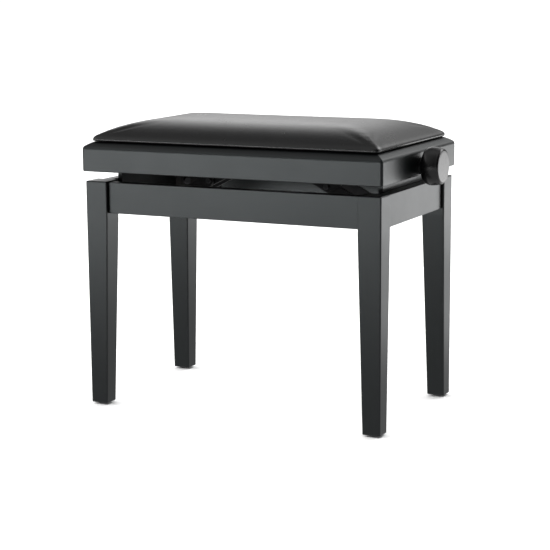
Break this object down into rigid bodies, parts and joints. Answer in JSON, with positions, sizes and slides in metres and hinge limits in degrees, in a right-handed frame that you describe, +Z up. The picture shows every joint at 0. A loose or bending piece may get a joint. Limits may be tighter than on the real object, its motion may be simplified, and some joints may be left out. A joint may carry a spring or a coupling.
{
  "type": "piano bench",
  "caption": "Height adjustable piano bench: upholstered crowned pad on a mitred frame, scissor lift with a two-way spindle and side knob, four tapered legs.",
  "frame": {"origin": "on the floor, under the middle of the overall length and depth", "axes": "+X towards the knob end, +Y towards the back, +Z up"},
  "size_m": [0.5954, 0.33, 0.4977],
  "materials": {
    "satin_lacquer": "satin black lacquer",
    "bare_hardwood": "plain sawn hardwood",
    "plywood": "plain plywood",
    "leatherette": "smooth black leatherette",
    "black_steel": "satin black paint on steel",
    "zinc_steel": "zinc plated",
    "knob_plastic": "gloss black",
    "glide_plastic": "matt dark grey"
  },
  "bodies": {
    "stand": {"leg_front_left": "satin_lacquer", "leg_front_right": "satin_lacquer", "leg_rear_left": "satin_lacquer", "leg_rear_right": "satin_lacquer", "apron_front": "satin_lacquer", "apron_rear": "satin_lacquer", "apron_left": "satin_lacquer", "apron_right": "satin_lacquer", "corner_block_front_left": "bare_hardwood", "leg_bolt_front_left": "zinc_steel", "glide_front_left": "glide_plastic", "corner_block_front_right": "bare_hardwood", "leg_bolt_front_right": "zinc_steel", "glide_front_right": "glide_plastic", "corner_block_rear_left": "bare_hardwood", "leg_bolt_rear_left": "zinc_steel", "glide_rear_left": "glide_plastic", "corner_block_rear_right": "bare_hardwood", "leg_bolt_rear_right": "zinc_steel", "glide_rear_right": "glide_plastic", "lift_rail_left": "black_steel", "lift_pin_left": "zinc_steel", "rail_screw_front_left": "zinc_steel", "rail_screw_rear_left": "zinc_steel", "lift_rail_right": "black_steel", "lift_pin_right": "zinc_steel", "rail_screw_front_right": "zinc_steel", "rail_screw_rear_right": "zinc_steel"},
    "seat": {"top_rail_front": "satin_lacquer", "top_rail_rear": "satin_lacquer", "top_rail_left": "satin_lacquer", "top_rail_right": "satin_lacquer", "end_board_left": "satin_lacquer", "end_board_right": "satin_lacquer", "seat_board": "plywood", "pad_board": "plywood", "cushion": "leatherette", "seat_rail_left": "black_steel", "seat_screw_front_left": "zinc_steel", "seat_screw_rear_left": "zinc_steel", "spindle_bracket_left": "black_steel", "seat_rail_right": "black_steel", "seat_screw_front_right": "zinc_steel", "seat_screw_rear_right": "zinc_steel", "spindle_bracket_right": "black_steel", "spindle_bush": "knob_plastic"},
    "arms_left": {"arm_left_front": "black_steel", "arm_left_rear": "black_steel", "link_pin_left": "zinc_steel"},
    "arms_right": {"arm_right_front": "black_steel", "arm_right_rear": "black_steel", "link_pin_right": "zinc_steel"},
    "links_left": {"link_left_front": "black_steel", "link_left_rear": "black_steel"},
    "links_right": {"link_right_front": "black_steel", "link_right_rear": "black_steel"},
    "nut_left": {"spindle_nut_left": "zinc_steel"},
    "nut_right": {"spindle_nut_right": "zinc_steel"},
    "spindle_and_knob": {"spindle": "zinc_steel", "knob": "knob_plastic"}
  },
  "joints": [
    {"name": "seat_lift", "type": "slide", "parent": "stand", "child": "seat", "axis": [0, 0, 1], "range_m": [-0.012, 0.06]},
    {"name": "arm_pivot_left", "type": "hinge", "parent": "stand", "child": "arms_left", "pos_m": [-0.20025, 0, 0.349], "axis": [0, -1, 0], "range_deg": [-5.2, 25]},
    {"name": "arm_pivot_right", "type": "hinge", "parent": "stand", "child": "arms_right", "pos_m": [0.17975, 0, 0.349], "axis": [0, 1, 0], "range_deg": [-5.2, 25]},
    {"name": "link_pivot_left", "type": "hinge", "parent": "seat", "child": "links_left", "pos_m": [-0.20025, 0, 0.4268], "axis": [0, 1, 0], "range_deg": [-5.2, 25]},
    {"name": "link_pivot_right", "type": "hinge", "parent": "seat", "child": "links_right", "pos_m": [0.17975, 0, 0.4268], "axis": [0, -1, 0], "range_deg": [-5.2, 25]},
    {"name": "nut_slide_left", "type": "slide", "parent": "seat", "child": "nut_left", "axis": [-1, 0, 0], "range_m": [-0.0093, 0.0462]},
    {"name": "nut_slide_right", "type": "slide", "parent": "seat", "child": "nut_right", "axis": [1, 0, 0], "range_m": [-0.0093, 0.0462]},
    {"name": "spindle_turn", "type": "hinge", "parent": "seat", "child": "spindle_and_knob", "pos_m": [0.25725, 0, 0.4268], "axis": [-1, 0, 0], "range_deg": [-665, 3320]}
  ],
  "couplings": [
    {"joint": "arm_pivot_left", "follows": "seat_lift", "rad_per_m": 7.22},
    {"joint": "arm_pivot_right", "follows": "seat_lift", "rad_per_m": 7.22},
    {"joint": "link_pivot_left", "follows": "seat_lift", "rad_per_m": 7.22},
    {"joint": "link_pivot_right", "follows": "seat_lift", "rad_per_m": 7.22},
    {"joint": "nut_slide_left", "follows": "seat_lift", "ratio": 0.766},
    {"joint": "nut_slide_right", "follows": "seat_lift", "ratio": 0.766},
    {"joint": "spindle_turn", "follows": "seat_lift", "rad_per_m": 962.6}
  ]
}
